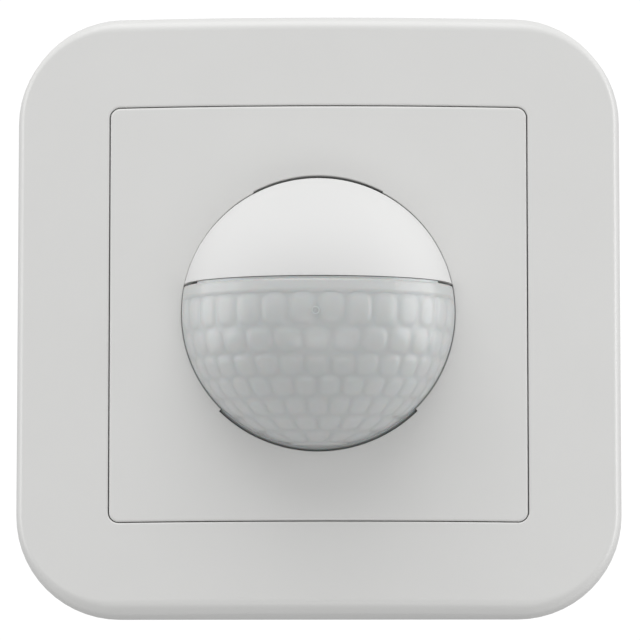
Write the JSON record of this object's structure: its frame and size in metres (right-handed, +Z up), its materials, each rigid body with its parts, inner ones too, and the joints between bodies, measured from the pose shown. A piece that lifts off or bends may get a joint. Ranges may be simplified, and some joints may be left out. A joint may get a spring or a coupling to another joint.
{
  "type": "motion sensor",
  "caption": "Flush wall motion sensor: square crowned fascia, half dome with white hood and faceted lens, insert with spreading claws for a round wall box.",
  "frame": {"origin": "centre of the sensor on the wall's surface, where the support ring and the cover frame's rim rest", "axes": "+Y into the wall, the front faces -Y, +X to the right seen from the front, +Z up"},
  "size_m": [0.087, 0.0618, 0.087],
  "materials": {
    "fascia_white": "satin moulded plastic, white",
    "hood_white": "satin moulded plastic, brighter white",
    "lens_milky": "milky translucent polyethylene, facets on the inside",
    "carrier_grey": "fine matt moulded plastic",
    "insert_grey": "matt moulded plastic, grey",
    "zinc_steel": "zinc-plated sheet and screws",
    "spring_steel": "bright spring steel",
    "sensor_can": "nickel-plated can",
    "brass": "turned brass",
    "circuit_board": "green solder mask",
    "black_plastic": "black moulded plastic",
    "sensor_window": "dark infrared filter",
    "blue_plastic": "blue case",
    "orange_plastic": "orange moulded plastic",
    "yellow_film": "yellow case",
    "resistor_coat": "fireproof coat",
    "clear_epoxy": "clear epoxy"
  },
  "bodies": {
    "base": {"adjuster_panel": "carrier_grey", "board_screw_1": "zinc_steel", "board_screw_2": "zinc_steel", "carrier_screw_1": "zinc_steel", "carrier_screw_2": "zinc_steel", "clamp_spring_1": "spring_steel", "clamp_spring_2": "spring_steel", "clamp_spring_3": "spring_steel", "claw_pin_left": "zinc_steel", "claw_pin_right": "zinc_steel", "electrolytic_capacitor": "blue_plastic", "film_capacitor": "yellow_film", "fuse_resistor": "resistor_coat", "head_carrier": "carrier_grey", "header_socket": "black_plastic", "insert_cover": "insert_grey", "insert_housing": "insert_grey", "lens_clamp_ring": "carrier_grey", "lens_dome": "lens_milky", "light_sensor": "clear_epoxy", "mode_switch_body": "spring_steel", "pin_header": "black_plastic", "pir_sensor_can": "sensor_can", "pir_window": "sensor_window", "power_board": "circuit_board", "relay": "black_plastic", "sensor_board": "circuit_board", "sensor_holder": "black_plastic", "status_led": "clear_epoxy", "support_ring": "zinc_steel", "terminal_block": "insert_grey", "trimmer_1": "blue_plastic", "trimmer_2": "blue_plastic", "trimmer_3": "blue_plastic", "varistor": "blue_plastic"},
    "fascia": {"cover_frame": "fascia_white", "centre_plate": "fascia_white"},
    "hood": {"upper_hood": "hood_white"},
    "time_dial": {"time_dial": "orange_plastic"},
    "lux_dial": {"lux_dial": "orange_plastic"},
    "range_dial": {"range_dial": "orange_plastic"},
    "mode_slider": {"mode_slider": "black_plastic"},
    "claw_screw_left": {"claw_screw_left": "zinc_steel"},
    "claw_nut_left": {"claw_nut_left": "brass"},
    "claw_left": {"claw_left": "zinc_steel"},
    "claw_screw_right": {"claw_screw_right": "zinc_steel"},
    "claw_nut_right": {"claw_nut_right": "brass"},
    "claw_right": {"claw_right": "zinc_steel"},
    "release_button_1": {"release_button_1": "orange_plastic"},
    "release_button_2": {"release_button_2": "orange_plastic"},
    "release_button_3": {"release_button_3": "orange_plastic"}
  },
  "joints": [
    {"name": "fascia_pull", "type": "slide", "parent": "base", "child": "fascia", "axis": [0, -1, 0], "range_m": [0, 0.04]},
    {"name": "hood_pull", "type": "slide", "parent": "base", "child": "hood", "axis": [0, -1, 0], "range_m": [0, 0.03]},
    {"name": "time_dial_turn", "type": "hinge", "parent": "base", "child": "time_dial", "pos_m": [-0.00858, -0.015, 0.0087], "axis": [0, 1, 0], "range_deg": [-135, 135]},
    {"name": "lux_dial_turn", "type": "hinge", "parent": "base", "child": "lux_dial", "pos_m": [0, -0.015, 0.0087], "axis": [0, 1, 0], "range_deg": [-135, 135]},
    {"name": "range_dial_turn", "type": "hinge", "parent": "base", "child": "range_dial", "pos_m": [0.00858, -0.015, 0.0087], "axis": [0, 1, 0], "range_deg": [-135, 135]},
    {"name": "mode_slide", "type": "slide", "parent": "base", "child": "mode_slider", "axis": [1, 0, 0], "range_m": [-0.0015, 0.0015]},
    {"name": "claw_screw_left_turn", "type": "hinge", "parent": "base", "child": "claw_screw_left", "pos_m": [-0.023, -0.0015, 0], "axis": [0, 1, 0], "range_deg": [0, 1200]},
    {"name": "claw_nut_left_draw", "type": "slide", "parent": "base", "child": "claw_nut_left", "axis": [0, -1, 0], "range_m": [0, 0.002]},
    {"name": "claw_left_spread", "type": "hinge", "parent": "base", "child": "claw_left", "pos_m": [-0.0175, 0.0021, 0], "axis": [0, 0, 1], "range_deg": [0, 20]},
    {"name": "claw_screw_right_turn", "type": "hinge", "parent": "base", "child": "claw_screw_right", "pos_m": [0.023, -0.0015, 0], "axis": [0, 1, 0], "range_deg": [0, 1200]},
    {"name": "claw_nut_right_draw", "type": "slide", "parent": "base", "child": "claw_nut_right", "axis": [0, -1, 0], "range_m": [0, 0.002]},
    {"name": "claw_right_spread", "type": "hinge", "parent": "base", "child": "claw_right", "pos_m": [0.0175, 0.0021, 0], "axis": [0, 0, -1], "range_deg": [0, 20]},
    {"name": "release_button_1_press", "type": "slide", "parent": "base", "child": "release_button_1", "axis": [0, -1, 0], "range_m": [0, 0.0015], "stiffness_N_per_m": 400, "springref_m": -0.001},
    {"name": "release_button_2_press", "type": "slide", "parent": "base", "child": "release_button_2", "axis": [0, -1, 0], "range_m": [0, 0.0015], "stiffness_N_per_m": 400, "springref_m": -0.001},
    {"name": "release_button_3_press", "type": "slide", "parent": "base", "child": "release_button_3", "axis": [0, -1, 0], "range_m": [0, 0.0015], "stiffness_N_per_m": 400, "springref_m": -0.001}
  ],
  "couplings": [
    {"joint": "claw_screw_left_turn", "follows": "claw_nut_left_draw", "rad_per_m": 10472},
    {"joint": "claw_left_spread", "follows": "claw_nut_left_draw", "rad_per_m": 173.84},
    {"joint": "claw_screw_right_turn", "follows": "claw_nut_right_draw", "rad_per_m": 10472},
    {"joint": "claw_right_spread", "follows": "claw_nut_right_draw", "rad_per_m": 173.84}
  ]
}
